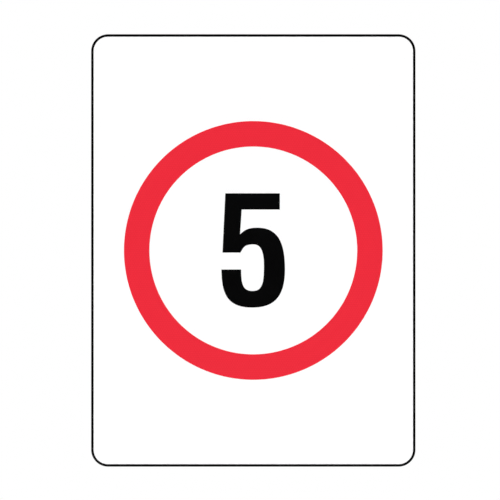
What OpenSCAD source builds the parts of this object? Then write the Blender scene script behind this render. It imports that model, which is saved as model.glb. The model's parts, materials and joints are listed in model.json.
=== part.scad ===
// Speed limit sign panel with the rails and post clamps that hold it to a round post.
// The post stands on Z, the face of the sign looks along -Y, and all sizes are in millimetres.
// Left and right are those of a driver who faces the sign: left is -X.

/* [Sign blade] */
// Width of the sign
sign_w = 450; // [375:1:750]
// Height of the sign
sign_h = 600; // [500:1:900]
// Radius of the sign's corners
corner_r = 23.5; // [12:0.5:40]
// Thickness of the aluminium blade
blade_t = 1.6; // [1:0.1:3]

/* [Face films] */
// Thickness of the white reflective sheeting
sheeting_t = 0.4; // [0.25:0.05:0.6]
// Thickness of the red and black films
film_t = 0.12; // [0.08:0.02:0.3]
// Width of the black line along the edge
border_w = 3; // [2:0.5:10]
// Outer diameter of the red ring
ring_d = 359; // [240:1:365]
// Width of the red band
ring_band = 35.3; // [20:0.1:50]
// Height of the numeral
numeral_h = 158.5; // [100:0.5:180]

/* [Rails] */
// Gap between the ends of a rail and the sides of the sign
rail_inset = 20; // [10:1:40]
// Distance from the middle of a rail to the sign's top or bottom edge
rail_edge = 120; // [60:1:180]
// Width of the flange that the tape holds
rail_flange_w = 44; // [38:1:60]
// Thickness of the flange
rail_flange_t = 2.2; // [1.6:0.1:4]
// Clear depth of the slot, for the bolt heads
slot_depth = 9; // [7:0.5:14]
// Thickness of the slot's side walls
slot_wall = 2.2; // [1.6:0.1:4]
// Thickness of the lips that the bolt heads pull on
lip_t = 2.8; // [2:0.1:5]
// Fillet between wall and flange
rail_fillet = 2; // [0.5:0.5:4]
// Thickness of the bonding tape
tape_t = 1.1; // [0.6:0.1:2.3]
// Width of one strip of tape
tape_w = 19; // [9:1:19]
// Distance that the tape stops short of the rail's ends
tape_inset = 6; // [0:1:20]

/* [End caps] */
// Thickness of the cap's cover
cap_t = 2; // [1.5:0.5:4]
// Length of the plug inside the slot
cap_plug = 10; // [6:1:20]
// Wall of the hollow plug
cap_wall = 1.8; // [1.2:0.1:2.5]
// Clearance of the plug in the slot, on each side
cap_fit = 0.15; // [0.05:0.05:0.3]

/* [Post clamps] */
// Outside diameter of the post
post_d = 60.3; // [48.3:0.1:76.1]
// Height of a clamp along the post
clamp_h = 38; // [30:1:60]
// Distance from the post to the rail
saddle_floor = 6; // [5:0.5:12]
// Thickness of the saddle's base
saddle_base_t = 4; // [3:0.5:5]
// Thickness of the saddle's curved seat and of its legs
seat_t = 3.5; // [3:0.5:6]
// Distance that the tips of the seat stop short of the post's axis
seat_tip = 14.5; // [12.5:0.5:18]
// Thickness of the strap
strap_t = 3; // [2:0.5:5]
// Distance from the post's axis to the front of the strap's ears
strap_reach = 10.5; // [8:0.5:12]
// Inner radius of the bend between the strap's ring and its ears
bend_r = 3; // [2:0.5:5]
// Distance from a bolt to the end of its ear
ear_margin = 10; // [9:0.5:16]
// Radius of the corners of the ears and of the saddle
ear_corner = 6; // [2:0.5:8]
// Width of the stiffening bead pressed along the strap
bead_w = 9; // [6:0.5:14]
// Height of the bead
bead_h = 1.6; // [1:0.1:2.5]
// Angle that the bead runs to, each side of the strap's middle
bead_angle = 62; // [30:1:70]

/* [Fasteners] */
// Thread diameter
bolt_d = 8; // [6:0.2:10]
// Width across the flats of heads and nuts
hex_af = 13; // [12:0.1:17]
// Height of a bolt head
head_h = 5.3; // [4:0.1:6.4]
// Height of a nut
nut_h = 6.5; // [5:0.1:8.4]
// Outside diameter of a flat washer
washer_od = 16; // [15:0.5:20]
// Thickness of a flat washer
washer_t = 1.6; // [1:0.1:2]
// Thickness of a spring washer
spring_t = 2; // [1.6:0.1:2.5]
// Distance that the nuts can back off
strap_travel = 12.5; // [5:1.25:20]
// Thread left past the nut at the end of that travel
thread_proud = 0.95; // [0.5:0.05:5]

/* [Label] */
// Width of the blank label on the back
label_w = 80; // [40:1:100]
// Height of the label
label_h = 45; // [20:1:60]
// Thickness of the label
label_t = 0.1; // [0.05:0.01:0.2]

/* [Hidden] */
upper = 1;
lower = -1;
left = -1;
right = 1;
$fn = 64;
over = 1; // how far a cut runs past the faces that it opens
bolt_hole_gap = 0.5; // radial clearance of a bolt in the saddle, the ears and the slot's mouth
head_gap = 0.3; // clearance of a bolt head's flats in the slot, on each side
thread_gap = 0.05; // radial running clearance of a nut on its bolt
washer_gap = 0.2; // radial clearance of a washer on its bolt
washer_to_bend = 1; // from a washer's edge to the start of the strap's bend
hex_chamfer = 0.8; // height of the chamfer on the corners of heads and nuts
chamfer_run = 1.5; // radial depth of that chamfer for each unit of its height
spring_slit = 1.2; // width of the split in a spring washer
slit_tilt = 30; // angle of the split
spring_od_gap = 0.6; // how much smaller in radius a spring washer is than a flat one
seat_fillet = 2; // between the saddle's legs and its base
groove_step = 1; // how much narrower the bead's groove is inside the strap, on each side
cap_corner = 2; // radius of the corners of an end cap
tape_gap = 3; // between the two strips of tape under a rail
label_corner = 3; // radius of the label's corners
label_side_gap = 65; // from the label to the nearer side of the sign
label_base_gap = 28; // from the label to the bottom of the sign

// Radii of the clamp, from the post outwards
post_r = post_d / 2;
strap_r = post_r + strap_t;
seat_r = post_r + seat_t;

// Planes across Y, from the post to the face of the sign
rail_rear = -(post_r + saddle_floor);
lip_inner = rail_rear - lip_t;
slot_floor = lip_inner - slot_depth;
rail_front = slot_floor - rail_flange_t;
blade_rear = rail_front - tape_t;
blade_front = blade_rear - blade_t;
sheeting_front = blade_front - sheeting_t;

// Planes across Y, from the ears of the strap back along a bolt
ear_front = -strap_reach;
ear_rear = ear_front + strap_t;
washer_rear = ear_rear + washer_t;
spring_rear = washer_rear + spring_t;
nut_rear = spring_rear + nut_h;
bolt_end = nut_rear + strap_travel + thread_proud;

// The centre of the bend is where its arc is tangent to the ring and to the ear
bend_y = ear_rear + bend_r;
bend_x = sqrt(pow(strap_r + bend_r, 2) - pow(bend_y, 2));
bend_angle = atan2(bend_y, bend_x);
bolt_x = ceil(bend_x + washer_od / 2 + washer_to_bend);
ear_end = bolt_x + ear_margin;

// Rails
rail_z = sign_h / 2 - rail_edge;
rail_l = sign_w - 2 * rail_inset;
slot_w = hex_af + 2 * head_gap;
slot_mouth = bolt_d + 2 * bolt_hole_gap;
channel_w = slot_w + 2 * slot_wall;
tape_z = (tape_w + tape_gap) / 2;

// The numeral's outline, in hundredths of its height: straight stretches are points, and
// round ones are cubic curves given by their two ends and two handles
curve_steps = 18;
function bezier(a, b, c, d) = [
    for (i = [0:curve_steps])
        let (t = i / curve_steps, u = 1 - t)
        u * u * u * a + 3 * u * u * t * b + 3 * u * t * t * c + t * t * t * d
];
numeral_outline = concat(
    // flag and stem, clockwise from the top left
    [[-24.5, 50], [23.2, 50], [23.2, 35.8], [-10.2, 35.8]],
    // outside of the bowl, over the top, round the right and under the foot
    bezier([-11.6, 14.2], [-7.4, 18], [-4.8, 19.9], [4, 19.9]),
    bezier([4, 19.9], [23, 19.9], [27.7, 4.5], [27.7, -16.7]),
    bezier([27.7, -16.7], [27.7, -42.5], [16.5, -50], [-1, -50]),
    bezier([-1, -50], [-21.5, -50], [-27.9, -39.7], [-27.9, -16.7]),
    // inside of the bowl, back up to the stem
    bezier([-10.7, -16.7], [-10.7, -29.7], [-9.1, -35.5], [-0.4, -35.5]),
    bezier([-0.4, -35.5], [8.8, -35.5], [9.3, -26], [9.3, -13.2]),
    bezier([9.3, -13.2], [9.3, -1], [6.7, 5.3], [0.3, 5.3]),
    bezier([0.3, 5.3], [-8.9, 5.3], [-8.5, 1.9], [-11.4, -1.9]),
    [[-27, -1.9]]
);

module rounded_rect(w, h, r) {
    square([w - 2 * r, h], center = true);
    square([w, h - 2 * r], center = true);
    for (x = [-1, 1], z = [-1, 1])
        translate([x * (w / 2 - r), z * (h / 2 - r)]) circle(r);
}

// Extrudes a shape drawn in X and Z from the plane y = rear towards the face of the sign
module towards_face(rear, t) {
    translate([0, rear, 0]) rotate([90, 0, 0]) linear_extrude(t) children();
}

// Extrudes a shape drawn in Y and Z along X, with its middle at x = 0
module along_rail(l) {
    translate([-l / 2, 0, 0]) rotate([90, 0, 90]) linear_extrude(l) children();
}

// Turns a shape built up Z so that it runs back along Y from a bolt's axis at the plane y
module on_bolt(level, side, y) {
    translate([side * bolt_x, y, level * rail_z]) rotate([-90, 0, 0]) children();
}

module blade() {
    color("silver") towards_face(blade_rear, blade_t) rounded_rect(sign_w, sign_h, corner_r);
}

module white_sheeting() {
    color("white") towards_face(blade_front, sheeting_t) rounded_rect(sign_w, sign_h, corner_r);
}

module red_ring() {
    color("crimson") towards_face(sheeting_front, film_t) difference() {
        circle(d = ring_d);
        circle(d = ring_d - 2 * ring_band);
    }
}

module numeral_five() {
    color("black") towards_face(sheeting_front, film_t)
        scale(numeral_h / 100) polygon(numeral_outline);
}

module border_line() {
    color("black") towards_face(sheeting_front, film_t) difference() {
        rounded_rect(sign_w, sign_h, corner_r);
        rounded_rect(sign_w - 2 * border_w, sign_h - 2 * border_w, corner_r - border_w);
    }
}

module rear_label() {
    label_x = sign_w / 2 - label_side_gap - label_w / 2;
    label_z = label_base_gap + label_h / 2 - sign_h / 2;
    color("gainsboro") translate([label_x, 0, label_z])
        towards_face(blade_rear + label_t, label_t) rounded_rect(label_w, label_h, label_corner);
}

// A quarter-round fillet in the corner at the origin, between +X and +Y
module fillet(r) {
    difference() {
        square(r);
        translate([r, r]) circle(r);
    }
}

// Section of a rail in Y and Z: a flange on the sign and a slot that opens towards the post
module rail_section() {
    flange_rear = rail_front + rail_flange_t;
    translate([rail_front, -rail_flange_w / 2]) square([rail_flange_t, rail_flange_w]);
    difference() {
        translate([rail_front, -channel_w / 2]) square([rail_rear - rail_front, channel_w]);
        translate([slot_floor, -slot_w / 2]) square([slot_depth, slot_w]);
        translate([lip_inner - over, -slot_mouth / 2]) square([lip_t + 2 * over, slot_mouth]);
    }
    for (side = [0, 1])
        mirror([0, side]) translate([flange_rear, channel_w / 2]) fillet(rail_fillet);
}

module rail(level) {
    color("lightgray") translate([0, 0, level * rail_z]) along_rail(rail_l) rail_section();
}

module rail_tape(level) {
    for (side = [-1, 1])
        color("dimgray") translate([0, 0, level * rail_z + side * tape_z])
            towards_face(rail_front, tape_t) square([rail_l - 2 * tape_inset, tape_w], center = true);
}

module end_cap(level, side) {
    plug_w = slot_w - 2 * cap_fit;
    plug_d = slot_depth - 2 * cap_fit;
    middle_y = (rail_front + rail_rear) / 2;
    color("darkslategray") translate([side * (rail_l + cap_t) / 2, 0, level * rail_z])
        along_rail(cap_t) translate([middle_y, 0])
            rounded_rect(rail_rear - rail_front, channel_w + 2 * rail_fillet, cap_corner);
    color("darkslategray") translate([side * (rail_l - cap_plug) / 2, 0, level * rail_z])
        along_rail(cap_plug) translate([slot_floor + slot_depth / 2, 0]) difference() {
            square([plug_d, plug_w], center = true);
            square([plug_d - 2 * cap_wall, plug_w - 2 * cap_wall], center = true);
        }
}

// Keeps the part of a clamp that lies inside its outline in X and Z
module clamp_outline() {
    intersection() {
        linear_extrude(clamp_h, center = true) children();
        translate([0, 2 * post_d, 0]) rotate([90, 0, 0]) linear_extrude(4 * post_d)
            rounded_rect(2 * ear_end, clamp_h, ear_corner);
    }
}

// Section of a saddle in X and Y: a base on the rail, a curved seat and a leg under each tip
module saddle_section() {
    leg_x = sqrt(pow(seat_r, 2) - pow(seat_tip, 2));
    base_rear = rail_rear + saddle_base_t;
    difference() {
        union() {
            translate([-ear_end, rail_rear]) square([2 * ear_end, saddle_base_t]);
            difference() {
                circle(seat_r);
                translate([-seat_r - over, -seat_tip]) square(2 * (seat_r + over));
            }
            for (side = [0, 1]) mirror([side, 0]) {
                translate([leg_x - seat_t, rail_rear]) square([seat_t, -seat_tip - rail_rear]);
                translate([leg_x, base_rear]) fillet(seat_fillet);
            }
        }
        circle(post_r);
    }
}

module saddle(level) {
    color("silver") translate([0, 0, level * rail_z]) difference() {
        clamp_outline() saddle_section();
        for (side = [left, right])
            translate([side * bolt_x, rail_rear - over, 0]) rotate([-90, 0, 0])
                cylinder(h = saddle_base_t + 2 * over, d = bolt_d + 2 * bolt_hole_gap);
    }
}

// A sector between the angles a and b, less than 180 degrees apart, wide enough to cut out an arc of radius r
module sector(r, a, b) {
    middle = (a + b) / 2;
    reach = 2 * r / cos((b - a) / 4);
    polygon([[0, 0], for (angle = [a, (a + middle) / 2, middle, (middle + b) / 2, b])
        reach * [cos(angle), sin(angle)]]);
}

// Section of a strap in X and Y: a half ring round the post, with an ear bent out at each end
module strap_section() {
    difference() {
        circle(strap_r);
        circle(post_r);
        sector(strap_r, bend_angle - 90, bend_angle);
        mirror([1, 0]) sector(strap_r, bend_angle - 90, bend_angle);
    }
    for (side = [0, 1]) mirror([side, 0]) {
        translate([bend_x, bend_y]) intersection() {
            difference() {
                circle(bend_r + strap_t);
                circle(bend_r);
            }
            sector(bend_r + strap_t, 180 + bend_angle, 270);
        }
        translate([bend_x, ear_front]) square([ear_end - bend_x, strap_t]);
    }
}

// Section of the pressed bead: a rounded rib that stands h proud of the radius r
module bead_section(r, w, h) {
    bead_r = (pow(w / 2, 2) + pow(h, 2)) / (2 * h);
    intersection() {
        translate([r + h - bead_r, 0]) circle(bead_r);
        translate([r - strap_t / 2, -w]) square([2 * strap_t, 2 * w]);
    }
}

module bead(r, w, h) {
    rotate([0, 0, 90 - bead_angle]) rotate_extrude(angle = 2 * bead_angle) bead_section(r, w, h);
}

module strap(level) {
    color("gainsboro") translate([0, 0, level * rail_z]) difference() {
        union() {
            clamp_outline() strap_section();
            bead(strap_r, bead_w, bead_h);
        }
        bead(post_r, bead_w - 2 * groove_step, bead_h);
        for (side = [left, right])
            translate([side * bolt_x, ear_front - over, 0]) rotate([-90, 0, 0])
                cylinder(h = strap_t + 2 * over, d = bolt_d + 2 * bolt_hole_gap);
    }
}

// A hexagon whose corners are chamfered at its upper end, and at its lower end too if both is true
module hexagon(h, both) {
    corner_d = hex_af / cos(30);
    low = both ? hex_chamfer : 0;
    intersection() {
        cylinder(h = h, d = corner_d, $fn = 6);
        rotate_extrude() polygon([
            [0, 0], [corner_d / 2 - chamfer_run * low, 0], [corner_d / 2, low],
            [corner_d / 2, h - hex_chamfer], [corner_d / 2 - chamfer_run * hex_chamfer, h], [0, h]
        ]);
    }
}

module bolt(level, side) {
    color("lightsteelblue") {
        on_bolt(level, side, lip_inner) mirror([0, 0, 1]) hexagon(head_h, false);
        on_bolt(level, side, lip_inner) cylinder(h = bolt_end - lip_inner - hex_chamfer, d = bolt_d);
        on_bolt(level, side, bolt_end - hex_chamfer)
            cylinder(h = hex_chamfer, d1 = bolt_d, d2 = bolt_d - 2 * hex_chamfer);
    }
}

module washer(level, side) {
    color("lightsteelblue") on_bolt(level, side, ear_rear) difference() {
        cylinder(h = washer_t, d = washer_od);
        translate([0, 0, -over]) cylinder(h = washer_t + 2 * over, d = bolt_d + 2 * washer_gap);
    }
}

module spring_washer(level, side) {
    spring_od = washer_od - 2 * spring_od_gap;
    color("lightsteelblue") on_bolt(level, side, washer_rear) difference() {
        cylinder(h = spring_t, d = spring_od);
        translate([0, 0, -over]) cylinder(h = spring_t + 2 * over, d = bolt_d + 2 * washer_gap);
        rotate([slit_tilt, 0, 0]) translate([0, -spring_slit / 2, -spring_od])
            cube([spring_od, spring_slit, 2 * spring_od]);
    }
}

module nut(level, side) {
    color("lightsteelblue") on_bolt(level, side, spring_rear) difference() {
        hexagon(nut_h, true);
        translate([0, 0, -over]) cylinder(h = nut_h + 2 * over, d = bolt_d + 2 * thread_gap);
    }
}

blade();
white_sheeting();
red_ring();
numeral_five();
border_line();
rear_label();
rail(upper);  // upper_rail
rail(lower);  // lower_rail
rail_tape(upper);  // upper_rail_tape
rail_tape(lower);  // lower_rail_tape
end_cap(upper, left);  // upper_left_end_cap
end_cap(upper, right);  // upper_right_end_cap
end_cap(lower, left);  // lower_left_end_cap
end_cap(lower, right);  // lower_right_end_cap
saddle(upper);  // upper_saddle
saddle(lower);  // lower_saddle
strap(upper);  // upper_strap
strap(lower);  // lower_strap
bolt(upper, left);  // upper_left_bolt
bolt(upper, right);  // upper_right_bolt
bolt(lower, left);  // lower_left_bolt
bolt(lower, right);  // lower_right_bolt
washer(upper, left);  // upper_left_washer
washer(upper, right);  // upper_right_washer
washer(lower, left);  // lower_left_washer
washer(lower, right);  // lower_right_washer
spring_washer(upper, left);  // upper_left_spring_washer
spring_washer(upper, right);  // upper_right_spring_washer
spring_washer(lower, left);  // lower_left_spring_washer
spring_washer(lower, right);  // lower_right_spring_washer
nut(upper, left);  // upper_left_nut
nut(upper, right);  // upper_right_nut
nut(lower, left);  // lower_left_nut
nut(lower, right);  // lower_right_nut
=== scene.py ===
import json
import math

import bmesh
import bpy
from mathutils import Matrix, Vector


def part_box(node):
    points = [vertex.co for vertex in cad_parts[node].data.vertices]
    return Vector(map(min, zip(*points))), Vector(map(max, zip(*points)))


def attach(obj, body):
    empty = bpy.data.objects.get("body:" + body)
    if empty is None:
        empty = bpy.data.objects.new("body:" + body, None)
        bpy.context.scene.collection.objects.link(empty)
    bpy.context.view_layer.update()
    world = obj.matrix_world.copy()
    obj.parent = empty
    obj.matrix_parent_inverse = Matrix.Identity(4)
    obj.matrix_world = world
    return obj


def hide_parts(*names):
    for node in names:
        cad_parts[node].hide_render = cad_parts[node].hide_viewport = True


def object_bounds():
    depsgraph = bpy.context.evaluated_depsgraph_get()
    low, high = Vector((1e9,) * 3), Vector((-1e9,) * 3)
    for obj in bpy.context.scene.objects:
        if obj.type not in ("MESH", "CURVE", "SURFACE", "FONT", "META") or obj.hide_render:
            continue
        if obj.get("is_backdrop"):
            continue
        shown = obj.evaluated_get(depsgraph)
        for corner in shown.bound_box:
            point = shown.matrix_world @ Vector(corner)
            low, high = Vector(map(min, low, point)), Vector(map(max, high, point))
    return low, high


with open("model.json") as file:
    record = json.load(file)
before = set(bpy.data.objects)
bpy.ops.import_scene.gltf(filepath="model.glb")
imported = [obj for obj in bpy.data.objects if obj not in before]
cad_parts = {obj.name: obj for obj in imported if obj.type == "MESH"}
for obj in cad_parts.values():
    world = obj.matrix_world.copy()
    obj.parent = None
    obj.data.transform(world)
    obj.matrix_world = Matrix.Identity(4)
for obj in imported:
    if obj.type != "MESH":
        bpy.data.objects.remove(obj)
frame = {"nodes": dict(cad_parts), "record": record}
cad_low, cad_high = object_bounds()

# Studio. A still camera stands square to the face of the sign, over a pale floor. Two broad lamps stand
# high on both sides in front, one hangs overhead and two light the back. The room is brighter overhead,
# dimmer behind the sign, and dark straight in front of the face, so that its gloss stays clear.
MM = 0.001
LENS = 85
SENSOR = 36
VIEW_WIDTH = 0.6938
VIEW_OFFSET = (-0.0046, 0.0006)
FLOOR_RADIUS = 3.0
FLOOR_STEPS = 96
FLOOR_DROP = 0.6
FLOOR_FADE = (1.0, 2.2)
SKY_DARKEST = 0.42
SKY_BRIGHTEST = 0.9
SKY_RISE = (-0.1, 0.9)
REAR_SHADE = 0.5
REAR_FADE = (0, 0.5)
PATCH_EDGES = (0.80, 0.93)
PATCH_LIGHT = 0.03


class Wire:
    """An output socket. Arithmetic on it adds Math nodes to the tree that it is in."""

    def __init__(self, web, socket):
        self.web = web
        self.socket = socket

    def maths(self, operation, *values):
        return self.web.node("ShaderNodeMath", {"operation": operation}, dict(enumerate(values)))

    def __add__(self, other):
        return self.maths("ADD", self, other)

    def __radd__(self, other):
        return self.maths("ADD", other, self)

    def __sub__(self, other):
        return self.maths("SUBTRACT", self, other)

    def __rsub__(self, other):
        return self.maths("SUBTRACT", other, self)

    def __mul__(self, other):
        return self.maths("MULTIPLY", self, other)

    def __rmul__(self, other):
        return self.maths("MULTIPLY", other, self)

    def __truediv__(self, other):
        return self.maths("DIVIDE", self, other)

    def __gt__(self, other):
        return self.maths("GREATER_THAN", self, other)

    def __lt__(self, other):
        return self.maths("LESS_THAN", self, other)

    def __abs__(self):
        return self.maths("ABSOLUTE", self)

    def least(self, other):
        return self.maths("MINIMUM", self, other)

    def most(self, other):
        return self.maths("MAXIMUM", self, other)

    def fraction(self):
        return self.maths("FRACT", self)

    def fade(self, low, high):
        """0 below low, 1 above high and a smooth step between them."""
        limits = {"Value": self, "From Min": low, "From Max": high}
        return self.web.node("ShaderNodeMapRange", {"interpolation_type": "SMOOTHSTEP"}, limits)


class Web:
    """A node tree that is wired up by name."""

    def __init__(self, tree):
        self.tree = tree

    def node(self, kind, settings=None, sockets=None, output=0):
        """Adds a node, sets it up, feeds its sockets and gives one of its outputs."""
        made = self.tree.nodes.new(kind)
        for name, value in (settings or {}).items():
            setattr(made, name, value)
        for name, value in (sockets or {}).items():
            self.feed(made.inputs[name], value)
        return Wire(self, made.outputs[output])

    def feed(self, socket, value):
        if isinstance(value, Wire):
            self.tree.links.new(value.socket, socket)
        else:
            socket.default_value = value

    def apart(self, vector):
        """The three numbers of a vector."""
        split = self.node("ShaderNodeSeparateXYZ", {}, {"Vector": vector}).socket.node
        return [Wire(self, output) for output in split.outputs]


face_low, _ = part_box("white_sheeting")
scene = bpy.context.scene
scene.view_settings.view_transform = "Standard"
camera_data = bpy.data.cameras.new("camera")
camera_data.lens = LENS
camera_data.sensor_width = SENSOR
camera = bpy.data.objects.new("camera", camera_data)
camera.location = (VIEW_OFFSET[0], face_low.y - VIEW_WIDTH * LENS / SENSOR, VIEW_OFFSET[1])
camera.rotation_euler = (math.pi / 2, 0, 0)
scene.collection.objects.link(camera)
scene.camera = camera

scene.world = bpy.data.worlds.new("room")
scene.world.use_nodes = True
room = Web(scene.world.node_tree)
_, behind, up = room.apart(room.node("ShaderNodeTexCoord", output="Generated"))
sky = SKY_DARKEST + (SKY_BRIGHTEST - SKY_DARKEST) * up.fade(*SKY_RISE)
sky = sky * (1 - REAR_SHADE * behind.fade(*REAR_FADE))
patch = (0 - behind).fade(*PATCH_EDGES)
seen = room.node("ShaderNodeLightPath", output="Is Camera Ray")
strength = sky * (1 - patch) + PATCH_LIGHT * patch
room.feed(room.tree.nodes["Background"].inputs["Strength"], seen.most(strength))
room.feed(room.tree.nodes["Background"].inputs["Color"], (1, 1, 1, 1))


def lamp(name, place, size, watts):
    """A square soft box that faces the middle of the sign."""
    data = bpy.data.lights.new(name, "AREA")
    data.shape = "SQUARE"
    data.size = size
    data.energy = watts
    box = bpy.data.objects.new(name, data)
    box.location = place
    box.rotation_euler = (-Vector(place)).to_track_quat("-Z", "Y").to_euler()
    scene.collection.objects.link(box)


lamp("front_left_lamp", (-3.2, -2.8, 3.2), size=2.4, watts=119)
lamp("front_right_lamp", (3.2, -2.8, 3.2), size=2.4, watts=119)
lamp("overhead_lamp", (0, -0.6, 3.6), size=3.2, watts=30)
lamp("rear_left_lamp", (-2.6, 2.9, 1.8), size=1.2, watts=34)
lamp("rear_right_lamp", (3.2, 2.2, 0.9), size=1.6, watts=22)


class Finish(Web):
    """The material of a piece. Its fixed numbers are set on the shader itself."""

    def __init__(self, name, **fixed):
        self.material = bpy.data.materials.new(name)
        self.material.use_nodes = True
        super().__init__(self.material.node_tree)
        self.shader = self.tree.nodes["Principled BSDF"]
        for socket, value in fixed.items():
            self.paint(socket, value)
        self.place = self.node("ShaderNodeTexCoord", output="Object")

    def paint(self, socket, value):
        """Gives a socket of the shader, named with _ for a space, a number, a colour or a wire."""
        self.feed(self.shader.inputs[socket.replace("_", " ")], value)

    def millimetres(self, middle=(0, 0, 0)):
        """The three coordinates of the surface, in millimetres from a point."""
        shifted = self.node(
            "ShaderNodeVectorMath", {"operation": "SUBTRACT"}, {0: self.place, 1: tuple(middle)})
        return [number / MM for number in self.apart(shifted)]

    def noise(self, grain, detail=2.0, roughness=0.5, shift=0):
        """Smooth noise from 0 to 1, whose grain is a size, or sizes along X, Y and Z, in millimetres."""
        sizes = grain if isinstance(grain, tuple) else (grain, grain, grain)
        squeeze = tuple(1 / (size * MM) for size in sizes)
        sockets = {0: self.place, 1: squeeze, 2: (shift, shift, shift)}
        point = self.node("ShaderNodeVectorMath", {"operation": "MULTIPLY_ADD"}, sockets)
        sockets = {"Vector": point, "Scale": 1, "Detail": detail, "Roughness": roughness}
        return self.node("ShaderNodeTexNoise", {}, sockets)

    def mixed(self, share, base, other):
        """Two colours mixed, all base where share is 0 and all other where it is 1."""
        mixer = self.node("ShaderNodeMix", {"data_type": "RGBA"}).socket.node
        named = {socket.identifier: socket for socket in mixer.inputs}
        self.feed(named["Factor_Float"], share)
        self.feed(named["A_Color"], base)
        self.feed(named["B_Color"], other)
        return Wire(self, [s for s in mixer.outputs if s.identifier == "Result_Color"][0])

    def emboss(self, height, depth):
        """Raises the surface by depth millimetres where height is 1."""
        sockets = {"Height": height, "Distance": depth * MM, "Strength": 1.0}
        self.paint("Normal", self.node("ShaderNodeBump", {}, sockets))


# The floor fades into the white of the room towards its rim, so that it has no edge.
floor_finish = Finish("studio_floor", Base_Color=(0.9, 0.9, 0.9, 1), Roughness=0.9)
from_middle = floor_finish.node(
    "ShaderNodeVectorMath", {"operation": "LENGTH"}, {0: floor_finish.place}, "Value")
glow = floor_finish.node("ShaderNodeEmission", {}, {"Color": (1, 1, 1, 1), "Strength": 1.0})
shaded = Wire(floor_finish, floor_finish.shader.outputs[0])
blend = {0: from_middle.fade(*FLOOR_FADE), 1: shaded, 2: glow}
faded = floor_finish.node("ShaderNodeMixShader", {}, blend)
floor_finish.feed(floor_finish.tree.nodes["Material Output"].inputs["Surface"], faded)
floor_mesh = bpy.data.meshes.new("floor")
bm = bmesh.new()
bmesh.ops.create_circle(bm, cap_ends=True, segments=FLOOR_STEPS, radius=FLOOR_RADIUS)
bmesh.ops.translate(bm, verts=bm.verts, vec=(0, 0, cad_low.z - FLOOR_DROP))
bm.to_mesh(floor_mesh)
bm.free()
floor = bpy.data.objects.new("floor", floor_mesh)
floor.data.materials.append(floor_finish.material)
scene.collection.objects.link(floor)
floor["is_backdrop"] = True

# Blade. A sheet of aluminium alloy, guillotined to size, punched round at its corners and deburred
# along its edge. The back stays as the mill rolled it: an upright grain, faint clouds from the
# pretreatment bath, and the odd hairline scratch from handling.
BLADE_CORNER = 23.5 * MM
CORNER_STEPS = 24
DEBURR = 0.2 * MM
SHARP_DEGREES = 32
HAIRLINE_FADE = 0.04
MILL_DARK = (0.60, 0.61, 0.62, 1)
MILL_LIGHT = (0.74, 0.75, 0.76, 1)
MILL_CLOUD = (0.70, 0.69, 0.64, 1)
HAIRLINE = (0.9, 0.9, 0.9, 1)
body_of = {
    node: body
    for body, nodes in frame["record"]["behaviour"]["bodies"].items()
    for node in nodes
}


def round_edges(bm, edges, width, steps):
    """Rounds edges, or breaks them with one flat if steps is 1."""
    bmesh.ops.bevel(
        bm, geom=edges, offset=width, affect="EDGES", segments=steps, profile=0.5, material=-1)


def ease(bm, width, steps=2, over=50):
    """Rounds every edge where two faces meet at more than an angle in degrees."""
    sharp = [edge for edge in bm.edges if edge.calc_face_angle(0) > math.radians(over)]
    round_edges(bm, sharp, width, steps)


def round_corners(bm, corners, radius, steps):
    """Rounds corners of a flat outline."""
    bmesh.ops.bevel(
        bm, geom=corners, offset=radius, affect="VERTICES", segments=steps, profile=0.5, material=-1)


def thicken(bm, way):
    """Pulls a flat outline out into a solid."""
    grown = bmesh.ops.extrude_face_region(bm, geom=bm.faces[:])["geom"]
    bmesh.ops.translate(bm, vec=way, verts=[v for v in grown if isinstance(v, bmesh.types.BMVert)])


def plate(node, corner, edge):
    """A flat sheet with round corners that fills the box of a CAD node."""
    low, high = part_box(node)
    bm = bmesh.new()
    outline = [(low.x, low.z), (high.x, low.z), (high.x, high.z), (low.x, high.z)]
    bm.faces.new([bm.verts.new((x, high.y, z)) for x, z in outline])
    round_corners(bm, bm.verts[:], corner, CORNER_STEPS)
    thicken(bm, (0, low.y - high.y, 0))
    ease(bm, edge)
    return bm


def fit(bm, name, node, finish):
    """Makes a mesh into a piece that stands for a CAD node and rides where that does."""
    bmesh.ops.recalc_face_normals(bm, faces=bm.faces[:])
    mesh = bpy.data.meshes.new(name)
    bm.to_mesh(mesh)
    bm.free()
    mesh.shade_smooth()
    mesh.set_sharp_from_angle(angle=math.radians(SHARP_DEGREES))
    mesh.materials.append(finish.material)
    piece = bpy.data.objects.new(name, mesh)
    scene.collection.objects.link(piece)
    flatten = piece.modifiers.new("flat faces shade flat", "WEIGHTED_NORMAL")
    flatten.keep_sharp = True
    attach(piece, body_of[node])
    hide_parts(node)


def scratches(finish, degrees, width, length, rarity, shift):
    """A mask of short straight hairlines on a flat back, that all lean the same way.

    Width and length are in millimetres. The nearer rarity is to 1, the fewer hairlines there are.
    """
    x, _, z = finish.millimetres()
    lean = math.radians(degrees)
    along = x * math.cos(lean) + z * math.sin(lean)
    across = z * math.cos(lean) - x * math.sin(lean)
    point = finish.node(
        "ShaderNodeCombineXYZ", {}, {"X": along / length, "Y": across / width, "Z": shift})
    streaks = finish.node("ShaderNodeTexNoise", {}, {"Vector": point, "Scale": 1, "Detail": 0})
    return streaks.fade(rarity, rarity + HAIRLINE_FADE)


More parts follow.
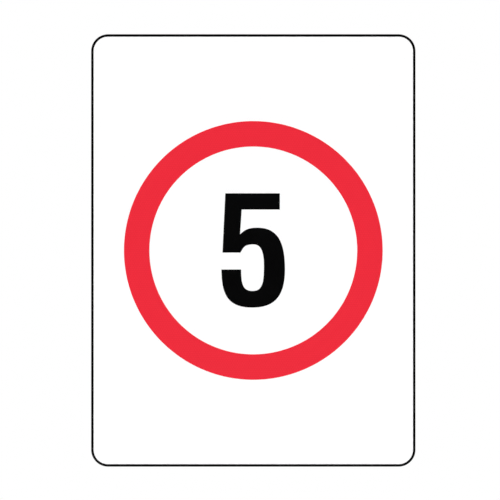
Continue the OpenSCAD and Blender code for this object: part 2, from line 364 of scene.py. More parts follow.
bare_aluminium = Finish("bare_aluminium", Metallic=1.0)
grain = bare_aluminium.noise((0.5, 0.5, 60), detail=3.0)
clouds = bare_aluminium.noise((150, 150, 220), detail=4.0, roughness=0.6)
hairlines = scratches(bare_aluminium, degrees=12, width=0.5, length=45, rarity=0.80, shift=3)
hairlines = hairlines.most(
    scratches(bare_aluminium, degrees=78, width=0.4, length=60, rarity=0.80, shift=8))
hairlines = hairlines.most(
    scratches(bare_aluminium, degrees=-50, width=0.4, length=30, rarity=0.82, shift=15))
tone = bare_aluminium.mixed(grain, MILL_DARK, MILL_LIGHT)
tone = bare_aluminium.mixed(clouds * 0.35, tone, MILL_CLOUD)
bare_aluminium.paint("Base_Color", bare_aluminium.mixed(hairlines * 0.35, tone, HAIRLINE))
bare_aluminium.paint("Roughness", 0.30 + 0.16 * grain + 0.12 * clouds)
bare_aluminium.emboss(grain - hairlines, 0.012)
fit(plate("blade", BLADE_CORNER, DEBURR), "blade_sheet", "blade", bare_aluminium)

# White sheeting. Retroreflective film, pressed onto the whole face of the blade by a roller and
# trimmed flush. Under its clear, glossy top lies a honeycomb of sealed cells, 3.4 mm across.
CELL = 3.4
CELL_SEAM = 0.44
CELL_RATIO = math.sqrt(3)
SHEETING_EDGE = 0.08 * MM
WHITE = (0.955, 0.955, 0.955, 1)
WHITE_SEAM = (0.86, 0.865, 0.87, 1)


def honeycomb(finish, across, seam):
    """A mask of the walls between hexagonal cells in X and Z, from a cell's width in millimetres."""
    x, _, z = finish.millimetres()
    across_cell = x / across
    up_cell = z / (across * CELL_RATIO)
    reach = None
    for shift in (0, 0.5):
        dx = abs((across_cell + shift).fraction() - 0.5)
        dz = abs((up_cell + shift).fraction() - 0.5) * CELL_RATIO
        cell = dx.most(0.5 * dx + (CELL_RATIO / 2) * dz)
        reach = cell if reach is None else reach.least(cell)
    return reach.fade(seam, 0.5)


reflective_white = Finish(
    "reflective_white", Roughness=0.22, Specular_IOR_Level=0.4, Coat_Weight=0.3, Coat_Roughness=0.08)
walls = honeycomb(reflective_white, CELL, CELL_SEAM)
ripple = reflective_white.noise(6, detail=2.0)
reflective_white.paint("Base_Color", reflective_white.mixed(walls, WHITE, WHITE_SEAM))
reflective_white.emboss(ripple + 0.4 * walls, 0.006)
fit(plate("white_sheeting", BLADE_CORNER, SHEETING_EDGE),
    "face_sheeting", "white_sheeting", reflective_white)

# Red ring. Transparent red film, cut on a plotter and laid on the white sheeting, so that the cells
# show through it as slightly deeper red. Its edge is a knife cut.
RING_BAND = 35.3 * MM
RING_STEPS = 256
FILM_EDGE = 0.03 * MM
RED = (0.793, 0.0240, 0.0422, 1)
RED_SEAM = (0.686, 0.016, 0.031, 1)


def turned(outline, place, steps):
    """A ring turned about a line along Y through a place, from a closed outline of (radius, height)."""
    bm = bmesh.new()
    points = [bm.verts.new((radius, height, 0)) for radius, height in outline]
    edges = [bm.edges.new(pair) for pair in zip(points, points[1:] + points[:1])]
    bmesh.ops.spin(
        bm, geom=points + edges, cent=(0, 0, 0), axis=(0, 1, 0), angle=2 * math.pi, steps=steps,
        use_merge=True)
    bmesh.ops.translate(bm, verts=bm.verts, vec=place)
    return bm


red_film = Finish(
    "red_film", Roughness=0.22, Specular_IOR_Level=0.3, Coat_Weight=0.08, Coat_Roughness=0.06)
walls = honeycomb(red_film, CELL, CELL_SEAM)
red_film.paint("Base_Color", red_film.mixed(walls, RED, RED_SEAM))
red_film.emboss(red_film.noise(6, detail=2.0) + 0.2 * walls, 0.006)
ring_low, ring_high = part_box("red_ring")
outer = (ring_high.x - ring_low.x) / 2
inner = outer - RING_BAND
film = ring_low.y - ring_high.y
fit(turned([
        (outer, 0), (outer, film + FILM_EDGE), (outer - FILM_EDGE, film),
        (inner + FILM_EDGE, film), (inner, film + FILM_EDGE), (inner, 0)],
        (0, ring_high.y, 0), RING_STEPS),
    "ring_film", "red_ring", red_film)

# Numeral and edge line. Opaque black film, cut on the same plotter. The numeral is laid in the
# middle of the ring, and the line runs along the edge of the sign, round its corners.
LINE_W = 3.4 * MM
BLACK = (0.0010, 0.0010, 0.0011, 1)
BLACK_WORN = (0.0024, 0.0024, 0.0026, 1)

black_film = Finish("black_film", Roughness=0.18, Specular_IOR_Level=0.14)
mottle = black_film.noise(40, detail=3.0)
black_film.paint("Base_Color", black_film.mixed(mottle, BLACK, BLACK_WORN))
black_film.emboss(black_film.noise(5, detail=2.0), 0.005)
numeral = frame["nodes"]["numeral_five"].data
numeral.materials.clear()
numeral.materials.append(black_film.material)
low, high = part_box("border_line")
line = bmesh.new()
for inset in (0, LINE_W):
    left, right = low.x + inset, high.x - inset
    foot, top = low.z + inset, high.z - inset
    corners = [(left, foot), (right, foot), (right, top), (left, top)]
    sheet = line.faces.new([line.verts.new((x, high.y, z)) for x, z in corners])
    round_corners(line, sheet.verts[:], BLADE_CORNER - inset, CORNER_STEPS)
bmesh.ops.delete(line, geom=line.faces[:], context="FACES_ONLY")
bmesh.ops.bridge_loops(line, edges=line.edges[:])
thicken(line, (0, low.y - high.y, 0))
ease(line, FILM_EDGE)
fit(line, "edge_line", "border_line", black_film)

# Rear label. A blank data label of matt film near the lower corner of the back, where a maker would
# write the size and the date: a tinted band over ruled rows in two columns, with no lettering.
LABEL_CORNER = 3 * MM
LABEL_EDGE = 0.02 * MM
PAPER_DARK = (0.70, 0.70, 0.67, 1)
PAPER_LIGHT = (0.78, 0.78, 0.76, 1)
LABEL_BLUE = (0.16, 0.27, 0.38, 1)
RULE_INK = (0.05, 0.06, 0.08, 1)

# The ruling is drawn by the material, so its sizes are plain millimetres.
LABEL_ROWS = 5
LABEL_RULE = 0.35
LABEL_MARGIN = 4.0
LABEL_BAND = 9.0
label_low, label_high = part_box("rear_label")
label_w = (label_high.x - label_low.x) / MM
label_h = (label_high.z - label_low.z) / MM


def stripe(number, middle, width):
    """A band as wide as width around a value."""
    return abs(number - middle) < width / 2


label_film = Finish("label_film", Specular_IOR_Level=0.3)
x, _, z = label_film.millimetres((label_low + label_high) / 2)
room_w = label_w / 2 - LABEL_MARGIN
room_h = label_h / 2 - LABEL_MARGIN
inside = (abs(x) < room_w) * (abs(z) < room_h)
frame_line = inside - (abs(x) < room_w - LABEL_RULE) * (abs(z) < room_h - LABEL_RULE)
row_h = (2 * room_h - LABEL_BAND) / LABEL_ROWS
row = ((z + room_h) / row_h).fraction()
rows = (row < LABEL_RULE / row_h) * (z < room_h - LABEL_BAND) * inside
column = stripe(x, -room_w / 3, LABEL_RULE) * (z < room_h - LABEL_BAND) * inside
band = (z > room_h - LABEL_BAND) * inside
paper = label_film.mixed(label_film.noise(9, detail=4.0), PAPER_DARK, PAPER_LIGHT)
paper = label_film.mixed(band, paper, LABEL_BLUE)
ink = frame_line.most(rows).most(column)
label_film.paint("Base_Color", label_film.mixed(ink, paper, RULE_INK))
label_film.paint("Roughness", 0.45 + 0.15 * label_film.noise(2, detail=2.0))
label_film.emboss(label_film.noise(0.6, detail=2.0), 0.004)
fit(plate("rear_label", LABEL_CORNER, LABEL_EDGE), "back_label", "rear_label", label_film)

# Bonding tape. Two strips of dark closed-cell acrylic foam under each rail. The rail was pressed down
# hard on them, so that their long edges stand out in a soft round.
TAPE_W = 19 * MM
TAPE_BULGE = 0.3 * MM
TAPE_SOFT = 0.2 * MM
FOAM_CELL = 0.35 * MM
FOAM_DARK = (0.018, 0.018, 0.02, 1)
FOAM_LIGHT = (0.05, 0.05, 0.054, 1)
PRISM_STEPS = 6


def prism(outline, way):
    """A solid with one section all along, from (x, y, z, corner radius) points pulled along a way."""
    bm = bmesh.new()
    points = {bm.verts.new(place): radius for *place, radius in outline}
    bm.faces.new(list(points))
    for radius in sorted(set(points.values()) - {0}):
        corners = [point for point, its_radius in points.items() if its_radius == radius]
        round_corners(bm, corners, radius, PRISM_STEPS)
    thicken(bm, way)
    return bm


foam_tape = Finish("foam_tape", Specular_IOR_Level=0.2)
cells = foam_tape.node(
    "ShaderNodeTexVoronoi", {}, {"Vector": foam_tape.place, "Scale": 1 / FOAM_CELL})
foam_tape.paint("Base_Color", foam_tape.mixed(cells, FOAM_DARK, FOAM_LIGHT))
foam_tape.paint("Roughness", 0.75 + 0.2 * cells)
foam_tape.emboss(cells, 0.06)
for level in ("upper", "lower"):
    low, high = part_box(level + "_rail_tape")
    both = bmesh.new()
    for edge_z, way in ((low.z, 1), (high.z, -1)):
        near, far = edge_z, edge_z + way * TAPE_W
        out = TAPE_BULGE * way
        middle_y = low.y + (high.y - low.y) / 2
        section = ((low.y, near + out), (low.y, far - out), (middle_y, far),
                   (high.y, far - out), (high.y, near + out), (middle_y, near))
        strip = prism([(low.x, y, z, 0) for y, z in section], (high.x - low.x, 0, 0))
        ease(strip, TAPE_SOFT, steps=3, over=20)
        part = bpy.data.meshes.new("strip")
        strip.to_mesh(part)
        strip.free()
        both.from_mesh(part)
        bpy.data.meshes.remove(part)
    fit(both, level + "_foam_tape", level + "_rail_tape", foam_tape)

# Rails. Two bars of extruded aluminium alloy, sawn to length and left as they came from the die,
# with drawn lines all along. A drill guide runs down the floor of the slot and along each flange.
FLANGE_T = 2.2 * MM
SLOT_DEPTH = 9 * MM
SLOT_W = 13.6 * MM
SLOT_WALL = 2.2 * MM
SLOT_MOUTH = 9 * MM
RAIL_FILLET = 2 * MM
SOFT_CORNER = 0.4 * MM
GUIDE_DEPTH = 0.3 * MM
GUIDE_W = 0.9 * MM
FLANGE_GUIDE = 15.5 * MM
SAW_BURR = 0.15 * MM
ALLOY_DARK = (0.66, 0.67, 0.68, 1)
ALLOY_LIGHT = (0.80, 0.81, 0.82, 1)
ALLOY_BAND = (0.58, 0.59, 0.60, 1)
ALLOY_BLOOM = (0.70, 0.70, 0.68, 1)


def guide(y, z):
    """A shallow V cut into the face at y, met while the outline runs up along Z."""
    half = GUIDE_W / 2
    return [(y, z - half, 0), (y - GUIDE_DEPTH, z, 0), (y, z + half, 0)]


def extruded_look(name, along, shift):
    """Bright alloy with the die's lines drawn along one axis, given as 0, 1 or 2."""
    finish = Finish(name, Metallic=1.0)

    def drawn(across, length):
        """Noise as fine as across, pulled out to a length, both in millimetres."""
        sizes = [across, across, across]
        sizes[along] = length
        return finish.noise(tuple(sizes), detail=2.0, shift=shift)

    lines = drawn(0.35, 400)
    bands = drawn(2.6, 900)
    bloom = finish.noise(45, detail=4.0, roughness=0.6, shift=shift)
    tone = finish.mixed(lines, ALLOY_DARK, ALLOY_LIGHT)
    tone = finish.mixed(bands.fade(0.52, 0.7) * 0.4, tone, ALLOY_BAND)
    finish.paint("Base_Color", finish.mixed(bloom * 0.3, tone, ALLOY_BLOOM))
    finish.paint("Roughness", 0.26 + 0.14 * lines + 0.14 * bloom)
    finish.emboss(lines + 0.8 * bands, 0.02)
    return finish


rail_aluminium = extruded_look("rail_aluminium", along=0, shift=11)
for level in ("upper", "lower"):
    low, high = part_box(level + "_rail")
    z = (low.z + high.z) / 2
    half_flange = (high.z - low.z) / 2
    half_channel = SLOT_W / 2 + SLOT_WALL
    step = low.y + FLANGE_T
    lip = step + SLOT_DEPTH
    bottom = [
        (low.y, -half_flange, SOFT_CORNER), (step, -half_flange, SOFT_CORNER),
        *guide(step, -FLANGE_GUIDE),
        (step, -half_channel, RAIL_FILLET), (high.y, -half_channel, SOFT_CORNER),
        (high.y, -SLOT_MOUTH / 2, SOFT_CORNER), (lip, -SLOT_MOUTH / 2, SOFT_CORNER / 2),
        (lip, -SLOT_W / 2, SOFT_CORNER), (step, -SLOT_W / 2, SOFT_CORNER)]
    top = [(y, -height, radius) for y, height, radius in reversed(bottom)]
    section = [
        (low.x, y, z + height, radius) for y, height, radius in bottom + guide(step, 0) + top]
    bar = prism(section, (high.x - low.x, 0, 0))
    ease(bar, SAW_BURR, steps=1, over=80)
    fit(bar, level + "_rail_bar", level + "_rail", rail_aluminium)

# End caps. Small covers of black polypropylene, moulded with a hollow plug that grips inside the
# slot and tapped in with a mallet. The cover is dished a little and its rim is rounded.
CAP_T = 2 * MM
CAP_PLUG_GAP = 0.15 * MM
CAP_WALL = 1.8 * MM
CAP_RIM = 1.4 * MM
CAP_DISH = 0.35 * MM
CAP_CORNER = 2 * MM
CAP_SOFT = 0.5 * MM
DISH_SOFT = 0.21 * MM
WELD = 0.001 * MM
PLASTIC_DARK = (0.016, 0.016, 0.018, 1)
PLASTIC_LIGHT = (0.034, 0.034, 0.037, 1)


def push(bm, face, distance):
    """Pulls one face out along its normal, or into the piece if distance is negative."""
    way = face.normal * distance
    grown = bmesh.ops.extrude_discrete_faces(bm, faces=[face])["faces"][0]
    bmesh.ops.translate(bm, verts=grown.verts, vec=way)
    return grown


def right_cap(low, high):
    """The cap of a rail's right-hand end, in the box of its node. Its plug points to the left."""
    middle = (low + high) / 2
    cover_x = high.x - CAP_T
    plug_low = low.y + FLANGE_T + CAP_PLUG_GAP
    plug_high = low.y + FLANGE_T + SLOT_DEPTH - CAP_PLUG_GAP
    half_w = SLOT_W / 2 - CAP_PLUG_GAP
    plug_y = (plug_low + plug_high) / 2
    corners = ((low.y, low.z), (high.y, low.z), (high.y, high.z), (low.y, high.z))
    cap = prism([(cover_x, y, z, CAP_CORNER) for y, z in corners], (CAP_T, 0, 0))
    bmesh.ops.recalc_face_normals(cap, faces=cap.faces[:])

    def face_at(x, y):
        """The face whose middle is nearest to a point at half height."""
        place = Vector((x, y, middle.z))
        return min(cap.faces, key=lambda face: (face.calc_center_median() - place).length)

    root = face_at(cover_x, middle.y)
    bmesh.ops.inset_individual(cap, faces=[root], thickness=CAP_CORNER)
    for corner in root.verts:
        corner.co.y = plug_low if corner.co.y < middle.y else plug_high
        corner.co.z = middle.z + math.copysign(half_w, corner.co.z - middle.z)
    bmesh.ops.remove_doubles(cap, verts=root.verts, dist=WELD)
    plug = push(cap, face_at(cover_x, plug_y), cover_x - low.x)
    bmesh.ops.inset_individual(cap, faces=[plug], thickness=CAP_WALL)
    push(cap, plug, low.x - cover_x)
    round_edges(cap, face_at(high.x, middle.y).edges[:], CAP_SOFT, steps=4)
    front = face_at(high.x, middle.y)
    bmesh.ops.inset_individual(cap, faces=[front], thickness=CAP_RIM - CAP_SOFT)
    dish = push(cap, front, -CAP_DISH)
    round_edges(cap, dish.edges[:], DISH_SOFT, steps=3)
    return cap


cap_plastic = Finish("cap_plastic", Specular_IOR_Level=0.4)
leather = cap_plastic.noise(0.5, detail=3.0)
flow = cap_plastic.noise((6, 6, 22), detail=3.0)
cap_plastic.paint("Base_Color", cap_plastic.mixed(flow, PLASTIC_DARK, PLASTIC_LIGHT))
cap_plastic.paint("Roughness", 0.42 + 0.2 * leather)
cap_plastic.emboss(leather, 0.03)
for level in ("upper", "lower"):
    cap = right_cap(*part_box(level + "_right_end_cap"))
    fit(cap.copy(), level + "_right_rail_cap", level + "_right_end_cap", cap_plastic)
    bmesh.ops.scale(cap, verts=cap.verts, vec=(-1, 1, 1))
    fit(cap, level + "_left_rail_cap", level + "_left_end_cap", cap_plastic)

# Bolts. Four M8 x 55 hexagon bolts of stainless steel, cold headed and with rolled threads. Their
# heads slide in the slots of the rails, which keep them from turning.
HEX_AF = 13 * MM
HEAD_H = 5.3 * MM
CROWN_R = 0.475 * HEX_AF
CROWN_SLOPE = math.tan(math.radians(30))
BOLT_R = 4 * MM
HEAD_FILLET = 0.4 * MM
THREAD_L = 22 * MM
PITCH = 1.25 * MM
THREAD_DEPTH = 0.74 * MM
THREAD_STEPS = 32
THREAD_JOIN = 0.2 * MM
THREAD_SPARE = (2, 1)
RUN_OUT = 1.6 * MM
TIP_CHAMFER = 0.9 * MM
ROUND_STEPS = 48


def disc(radius, height):
    """A round loop of a stack."""
    return lambda angle: (radius, height)


def hexagon(height, slope=0):
    """A hexagonal loop of a stack. A slope lets its corners fall away, as a crown's do."""

    def point(angle):
        radius = HEX_AF / 2 / math.cos(angle % (math.pi / 3) - math.pi / 6)
        return radius, height + slope * (radius - CROWN_R)

    return point


def stack(bm, loops, capped=True):
    """Joins loops about the Y axis, one after another, and gives the edges of the last one."""
    turn = Matrix.Rotation(math.pi / 2, 4, "X")
    made = bmesh.ops.create_circle(bm, cap_ends=capped, segments=ROUND_STEPS, radius=1, matrix=turn)
    verts = made["verts"]
    edges = list({edge for vert in verts for edge in vert.link_edges})
    for count, loop in enumerate(loops):
        if count:
            grown = bmesh.ops.extrude_edge_only(bm, edges=edges)["geom"]
            verts = [item for item in grown if isinstance(item, bmesh.types.BMVert)]
            edges = [item for item in grown if isinstance(item, bmesh.types.BMEdge)
                     and item.verts[0] in verts and item.verts[1] in verts]
        for vert in verts:
            angle = math.atan2(vert.co.z, vert.co.x)
            radius, height = loop(angle)
            vert.co = (radius * math.cos(angle), height, radius * math.sin(angle))
    return edges


def screw_thread(bm, start, end):
    """A right-hand thread about the Y axis from start to end, and the edges of its first loop.

    It is spun a few spare turns too long at both ends, and cut off square there.
    """
    early, late = THREAD_SPARE
    flank = PITCH * 5 / 16
    crest = PITCH / 8
    profile = [(BOLT_R, 0), (BOLT_R, crest), (BOLT_R - THREAD_DEPTH, crest + flank),
               (BOLT_R - THREAD_DEPTH, PITCH - flank), (BOLT_R, PITCH)]
    verts = [bm.verts.new((radius, start - early * PITCH + height, 0)) for radius, height in profile]
    edges = [bm.edges.new(pair) for pair in zip(verts, verts[1:])]
    turns = early + math.ceil((end - start) / PITCH) + late
    bmesh.ops.spin(
        bm, geom=verts + edges, cent=(0, 0, 0), axis=(0, 1, 0), dvec=(0, PITCH / THREAD_STEPS, 0),
        angle=2 * math.pi * turns, steps=THREAD_STEPS * turns, use_merge=False)
    bmesh.ops.remove_doubles(bm, verts=bm.verts, dist=WELD)
    for place, way in ((start, -1), (end, 1)):
        geom = bm.verts[:] + bm.edges[:] + bm.faces[:]
        bmesh.ops.bisect_plane(
            bm, geom=geom, dist=WELD / 2, plane_co=(0, place, 0), plane_no=(0, way, 0),
            clear_outer=True)
    for vert in bm.verts:
        radius = math.hypot(vert.co.x, vert.co.z)
        share = min(1, (vert.co.y - start) / RUN_OUT)
        wanted = min(BOLT_R + (radius - BOLT_R) * share, BOLT_R - TIP_CHAMFER + end - vert.co.y)
        vert.co.x *= wanted / radius
        vert.co.z *= wanted / radius
    rims = [edge for edge in bm.edges if edge.is_boundary]
    tip = [edge for edge in rims if edge.verts[0].co.y > (start + end) / 2]
    bmesh.ops.contextual_create(bm, geom=tip)
    return [edge for edge in rims if edge.verts[0].co.y < (start + end) / 2]


def hex_bolt(head, tip):
    """A bolt on the Y axis, from the top of its head to its tip."""
    bm = bmesh.new()
    under = head + HEAD_H
    start = tip - THREAD_L
    root = screw_thread(bm, start, tip)
    shank = stack(bm, [
        disc(CROWN_R, head), hexagon(head, CROWN_SLOPE), hexagon(under),
        disc(BOLT_R + HEAD_FILLET, under), disc(BOLT_R, under + HEAD_FILLET),
        disc(BOLT_R, start - THREAD_JOIN)])
    bmesh.ops.bridge_loops(bm, edges=root + shank)
    return bm


def steel_look(name, tint, rough, shift):
    """Stainless steel with fine forming marks and a little grey bloom."""
    finish = Finish(name, Metallic=1.0)
    marks = finish.noise((0.25, 2.5, 0.25), detail=3.0, shift=shift)
    bloom = finish.noise(7, detail=4.0, roughness=0.6, shift=shift)
    dark = tuple(part * 0.72 for part in tint)
    grey = tuple(part * 0.85 for part in tint)
    tone = finish.mixed(marks, (*dark, 1), (*tint, 1))
    finish.paint("Base_Color", finish.mixed(bloom * 0.4, tone, (*grey, 1)))
    finish.paint("Roughness", rough + 0.12 * marks + 0.12 * bloom)
    finish.emboss(marks, 0.012)
    return finish


bolt_steel = steel_look("bolt_steel", tint=(0.70, 0.69, 0.67), rough=0.20, shift=21)
for level in ("upper", "lower"):
    for side in ("left", "right"):
        low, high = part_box(f"{level}_{side}_bolt")
        bolt = hex_bolt(low.y, high.y)
        bmesh.ops.translate(bolt, verts=bolt.verts, vec=((low.x + high.x) / 2, 0, (low.z + high.z) / 2))
        fit(bolt, f"{level}_{side}_hex_bolt", f"{level}_{side}_bolt", bolt_steel)

# Saddles. The front half of each clamp: a slice sawn from an extrusion of aluminium alloy. A curved
# seat with grip teeth stands on two legs over a flat base, and the base bolts up against the rail.
POST_R = 30.15 * MM
SEAT_T = 3.5 * MM
BASE_T = 4 * MM
SEAT_TIP = 14.5 * MM
SEAT_FILLET = 2 * MM
EAR_CORNER = 6 * MM
EAR_STEPS = 8
HOLE_R = 4.5 * MM
TEETH = 38
TOOTH_LAND = 0.45
TOOTH_GROOVE = (0.6, 0.85)
TOOTH_DEPTH = 0.45 * MM
CAVITY_STEPS = 12
CUTTER_SPARE = 5 * MM
SADDLE_BURR = 0.12 * MM


def carve(solid, tools):
    """Cuts closed meshes out of another and gives what is left."""
    pieces = []
    for bm in (solid, *tools):
        bmesh.ops.recalc_face_normals(bm, faces=bm.faces[:])
        mesh = bpy.data.meshes.new("carving")
        bm.to_mesh(mesh)
        bm.free()
        pieces.append(bpy.data.objects.new("carving", mesh))
        scene.collection.objects.link(pieces[-1])
    for tool in pieces[1:]:
        cut = pieces[0].modifiers.new("cut", "BOOLEAN")
        cut.operation = "DIFFERENCE"
        cut.solver = "EXACT"
        cut.object = tool
    left = bmesh.new()
    left.from_object(pieces[0], bpy.context.evaluated_depsgraph_get())
    for piece in pieces:
        mesh = piece.data
        bpy.data.objects.remove(piece)
        bpy.data.meshes.remove(mesh)
    return left


def drill(x, z, start, end):
    """A round cutter along Y."""
    bm = bmesh.new()
    last = stack(bm, [disc(HOLE_R, start), disc(HOLE_R, end)])
    bmesh.ops.contextual_create(bm, geom=last)
    bmesh.ops.translate(bm, verts=bm.verts, vec=(x, 0, z))
    return bm


def grip_arc(first, last):
    """Points of the toothed seat, from one angle to another. It starts and ends with a whole land."""
    groove_start, groove_end = TOOTH_GROOVE
    tooth = ((0, 0), (TOOTH_LAND, 0), (groove_start, TOOTH_DEPTH), (groove_end, TOOTH_DEPTH))
    points = []
    for count in range(TEETH):
        for share, depth in tooth:
            angle = first + (last - first) * (count + share) / (TEETH - 1 + TOOTH_LAND)
            points.append(((POST_R + depth) * math.cos(angle), (POST_R + depth) * math.sin(angle)))
    return points[:-2]


def saddle_cutters(low, high, base_y, leg_x, bolt_x):
    """The two cavities between seat, legs and base, and the two bolt holes."""
    outer = POST_R + SEAT_T
    inner_leg = leg_x - SEAT_T
    first = -math.acos(inner_leg / outer)
    last = -math.asin(-base_y / outer)
    tools = []
    for way in (-1, 1):
        arc = [first + (last - first) * step / CAVITY_STEPS for step in range(CAVITY_STEPS + 1)]
        points = [(way * outer * math.cos(angle), outer * math.sin(angle)) for angle in arc]
        points.append((way * inner_leg, base_y))
        outline = [(x, y, low.z - CUTTER_SPARE, 0) for x, y in points]
        tools.append(prism(outline, (0, 0, high.z - low.z + 2 * CUTTER_SPARE)))
        tools.append(drill(
            way * bolt_x, (low.z + high.z) / 2, low.y - CUTTER_SPARE, base_y + CUTTER_SPARE))
    return tools


saddle_aluminium = extruded_look("saddle_aluminium", along=2, shift=31)
for level in ("upper", "lower"):
    low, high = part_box(level + "_saddle")
    bolt_low, bolt_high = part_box(level + "_right_bolt")
    base_y = low.y + BASE_T
    leg_x = math.sqrt((POST_R + SEAT_T) ** 2 - SEAT_TIP ** 2)
    tip_x = math.sqrt(POST_R ** 2 - SEAT_TIP ** 2)
    right_half = [(high.x, low.y, 0), (high.x, base_y, 0), (leg_x, base_y, SEAT_FILLET),
                  (leg_x, -SEAT_TIP, 0)]
    left_half = [(-x, y, radius) for x, y, radius in reversed(right_half)]
    tip_angle = math.atan2(-SEAT_TIP, tip_x)
    seat = [(x, y, 0) for x, y in grip_arc(tip_angle, -math.pi - tip_angle)]
    outline = [(x, y, low.z, radius) for x, y, radius in right_half + seat + left_half]
    block = prism(outline, (0, 0, high.z - low.z))
    ends = [edge for edge in block.edges if abs(edge.verts[0].co.x) == high.x
            and edge.verts[0].co.y != edge.verts[1].co.y]
    round_edges(block, ends, EAR_CORNER, EAR_STEPS)
    block = carve(block, saddle_cutters(low, high, base_y, leg_x, (bolt_low.x + bolt_high.x) / 2))
    ease(block, SADDLE_BURR, steps=1, over=80)
    fit(block, level + "_clamp_saddle", level + "_saddle", saddle_aluminium)

# Straps. The rear half of each clamp: a blank of steel sheet with round corners and two holes, with
# a stiffening bead pressed along it, bent round a former and then galvanised in molten zinc.
STRAP_T = 3 * MM
EAR_GAP = 10.5 * MM
BEND_R = 3 * MM
BEAD_HALF = 5.5 * MM
BEAD_H = 1.6 * MM
BEAD_REACH = math.radians(62)
BEAD_FADE = 7 * MM
STRAP_SOFT = 0.45 * MM
BEND_CUT = 1.1 * MM
BEAD_CUT = 0.6 * MM
SPANGLE = 4 * MM
ZINC_DARK = (0.46, 0.48, 0.50, 1)
ZINC_LIGHT = (0.58, 0.60, 0.62, 1)
ZINC_FEATHER = (0.50, 0.52, 0.53, 1)
ZINC_BLOOM = (0.56, 0.57, 0.57, 1)

# Half of the ring round the post and one bend into an ear, along the middle of the thickness.
ring_mid = POST_R + STRAP_T / 2
bend_mid = BEND_R + STRAP_T / 2
bend_y = STRAP_T - EAR_GAP + BEND_R
bend_x = math.sqrt((POST_R + STRAP_T + BEND_R) ** 2 - bend_y ** 2)
bend_turn = math.pi / 2 - math.atan2(bend_y, bend_x)
ring_l = ring_mid * bend_turn
bend_l = bend_mid * bend_turn


def strap_line(along):
    """The middle of the strap's thickness this far along from its centre, and the way outwards."""
    reach = abs(along)
    if reach < ring_l:
        angle = math.pi / 2 - reach / ring_mid
        out = Vector((math.cos(angle), math.sin(angle), 0))
        place = out * ring_mid
    elif reach < ring_l + bend_l:
        angle = math.pi * 1.5 - bend_turn + (reach - ring_l) / bend_mid
        out = -Vector((math.cos(angle), math.sin(angle), 0))
        place = Vector((bend_x, bend_y, 0)) - out * bend_mid
    else:
        out = Vector((0, 1, 0))
        place = Vector((bend_x + reach - ring_l - bend_l, bend_y - bend_mid, 0))
    if along < 0:
        place.x, out.x = -place.x, -out.x
    return place, out


def bead_lift(along, up):
    """How far the press has pushed the blank out, at a place on it."""
    across = 0.5 + 0.5 * math.cos(math.pi * min(1, abs(up) / BEAD_HALF))
    left = min(1, max(0, (BEAD_REACH * ring_mid - abs(along)) / BEAD_FADE))
    return BEAD_H * across * left * left * (3 - 2 * left)


def strap_blank(half_l, half_h, hole_x):
    """The flat blank, in X and Z, with its faces cut up wherever it is going to bend."""
    corners = ((-half_l, -half_h), (half_l, -half_h), (half_l, half_h), (-half_l, half_h))
    blank = prism([(x, -STRAP_T / 2, z, EAR_CORNER) for x, z in corners], (0, STRAP_T, 0))
    blank = carve(
        blank, [drill(way * hole_x, 0, -CUTTER_SPARE, CUTTER_SPARE) for way in (-1, 1)])
    ease(blank, STRAP_SOFT, steps=3)
    bend_rows = math.floor((ring_l + bend_l) / BEND_CUT) + 1
    cuts = [((row * BEND_CUT, 0, 0), (1, 0, 0)) for row in range(-bend_rows, bend_rows + 1)]
    bead_rows = round(BEAD_HALF / BEAD_CUT) + 1
    cuts += [((0, 0, row * BEAD_CUT), (0, 0, 1)) for row in range(-bead_rows, bead_rows + 1)]
    for place, way in cuts:
        geom = blank.verts[:] + blank.edges[:] + blank.faces[:]
        bmesh.ops.bisect_plane(blank, geom=geom, dist=WELD, plane_co=place, plane_no=way)
    return blank


galvanised = Finish("galvanised_steel", Metallic=1.0)
crystals = galvanised.node(
    "ShaderNodeTexVoronoi", {}, {"Vector": galvanised.place, "Scale": 1 / SPANGLE}, "Color")
facing = galvanised.apart(crystals)[0]
feather = galvanised.noise((1.2, 1.2, 3), detail=4.0, roughness=0.65, shift=41)
bloom = galvanised.noise(22, detail=5.0, roughness=0.6, shift=43)
zinc = galvanised.mixed(facing, ZINC_DARK, ZINC_LIGHT)
zinc = galvanised.mixed(feather * 0.4, zinc, ZINC_FEATHER)
galvanised.paint("Base_Color", galvanised.mixed(bloom.fade(0.5, 0.75) * 0.5, zinc, ZINC_BLOOM))
galvanised.paint("Roughness", 0.34 + 0.10 * facing + 0.2 * bloom.fade(0.4, 0.75))
galvanised.emboss(feather + 0.5 * facing + bloom, 0.03)
for level in ("upper", "lower"):
    low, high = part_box(level + "_strap")
    bolt_low, bolt_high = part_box(level + "_right_bolt")
    hole_x = (bolt_low.x + bolt_high.x) / 2 - bend_x + ring_l + bend_l
    half_l = high.x - bend_x + ring_l + bend_l
    strap = strap_blank(half_l, (high.z - low.z) / 2, hole_x)
    for vert in strap.verts:
        along, depth, up = vert.co
        place, out = strap_line(along)
        vert.co = place + out * (depth + bead_lift(along, up))
        vert.co.z = up + (low.z + high.z) / 2
    fit(strap, level + "_clamp_strap", level + "_strap", galvanised)

# Flat washers. Four stainless washers, blanked from strip: the die leaves the face towards the nut
# rounded at its edge and the other one square.
WASHER_ROUND = 0.35 * MM
WASHER_HOLE_GAP = 0.2 * MM
WASHER_ROUND_STEPS = 4

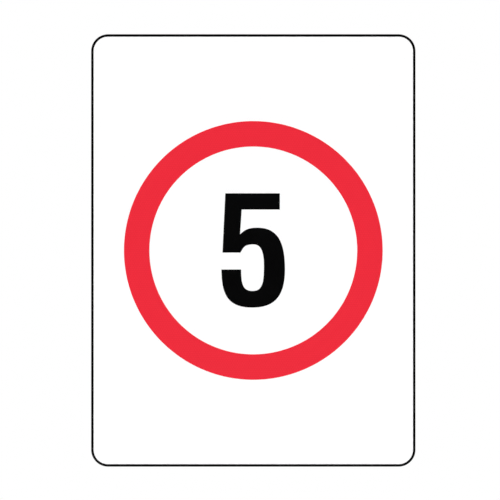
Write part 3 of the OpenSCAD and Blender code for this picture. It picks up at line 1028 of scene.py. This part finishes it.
washer_steel = steel_look("washer_steel", tint=(0.72, 0.71, 0.70), rough=0.24, shift=51)
for level in ("upper", "lower"):
    for side in ("left", "right"):
        low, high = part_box(f"{level}_{side}_washer")
        outer = (high.x - low.x) / 2
        hole = BOLT_R + WASHER_HOLE_GAP
        thick = high.y - low.y
        quarter = [math.pi / 2 * step / WASHER_ROUND_STEPS for step in range(WASHER_ROUND_STEPS + 1)]
        edge = [
            (outer - WASHER_ROUND * (1 - math.cos(turn)), thick - WASHER_ROUND * (1 - math.sin(turn)))
            for turn in quarter]
        place = ((low.x + high.x) / 2, low.y, (low.z + high.z) / 2)
        ring = turned([(hole, 0), (outer, 0), *edge, (hole, thick)], place, ROUND_STEPS)
        fit(ring, f"{level}_{side}_flat_washer", f"{level}_{side}_washer", washer_steel)

# Split washers. Four spring washers, coiled from square stainless wire and cut. The nut has pressed
# each nearly flat, and a small step is left where its two ends meet.
SPLIT_STEP = 0.25 * MM
SPLIT_HALF = math.radians(5.5)
SPLIT_STEPS = 44
SPLIT_SOFT = 0.22 * MM

split_steel = steel_look("split_steel", tint=(0.60, 0.59, 0.58), rough=0.26, shift=61)
for level in ("upper", "lower"):
    for side in ("left", "right"):
        low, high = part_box(f"{level}_{side}_spring_washer")
        outer = (high.z - low.z) / 2
        hole = BOLT_R + WASHER_HOLE_GAP
        wire = high.y - low.y - SPLIT_STEP
        coil = bmesh.new()
        corners = [(hole, 0), (outer, 0), (outer, wire), (hole, wire)]
        start = coil.faces.new([coil.verts.new((radius, height, 0)) for radius, height in corners])
        bmesh.ops.rotate(
            coil, verts=coil.verts, cent=(0, 0, 0), matrix=Matrix.Rotation(SPLIT_HALF, 3, "Y"))
        turn = 2 * (math.pi - SPLIT_HALF)
        bmesh.ops.spin(
            coil, geom=[start], cent=(0, 0, 0), axis=(0, 1, 0), angle=turn, steps=SPLIT_STEPS,
            dvec=(0, SPLIT_STEP / SPLIT_STEPS, 0))
        ease(coil, SPLIT_SOFT)
        bmesh.ops.translate(
            coil, verts=coil.verts, vec=(low.x + outer, low.y, (low.z + high.z) / 2))
        fit(coil, f"{level}_{side}_split_washer", f"{level}_{side}_spring_washer", split_steel)

# Nuts. Four M8 hexagon nuts of stainless steel, chamfered at both ends and countersunk at the thread.
# Each is screwed up against its split washer, with the tip of the bolt standing out of it.
NUT_SINK = 0.5 * MM
NUT_GAP = 0.05 * MM

nut_steel = steel_look("nut_steel", tint=(0.71, 0.70, 0.68), rough=0.18, shift=71)
for level in ("upper", "lower"):
    for side in ("left", "right"):
        low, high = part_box(f"{level}_{side}_nut")
        bore = BOLT_R + NUT_GAP
        nut = bmesh.new()
        stack(nut, [
            disc(bore, low.y + NUT_SINK), disc(bore + NUT_SINK, low.y), disc(CROWN_R, low.y),
            hexagon(low.y, CROWN_SLOPE), hexagon(high.y, -CROWN_SLOPE), disc(CROWN_R, high.y),
            disc(bore + NUT_SINK, high.y), disc(bore, high.y - NUT_SINK), disc(bore, low.y + NUT_SINK)],
            capped=False)
        bmesh.ops.remove_doubles(nut, verts=nut.verts, dist=WELD)
        bmesh.ops.translate(
            nut, verts=nut.verts, vec=((low.x + high.x) / 2, 0, (low.z + high.z) / 2))
        fit(nut, f"{level}_{side}_hex_nut", f"{level}_{side}_nut", nut_steel)

low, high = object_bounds()
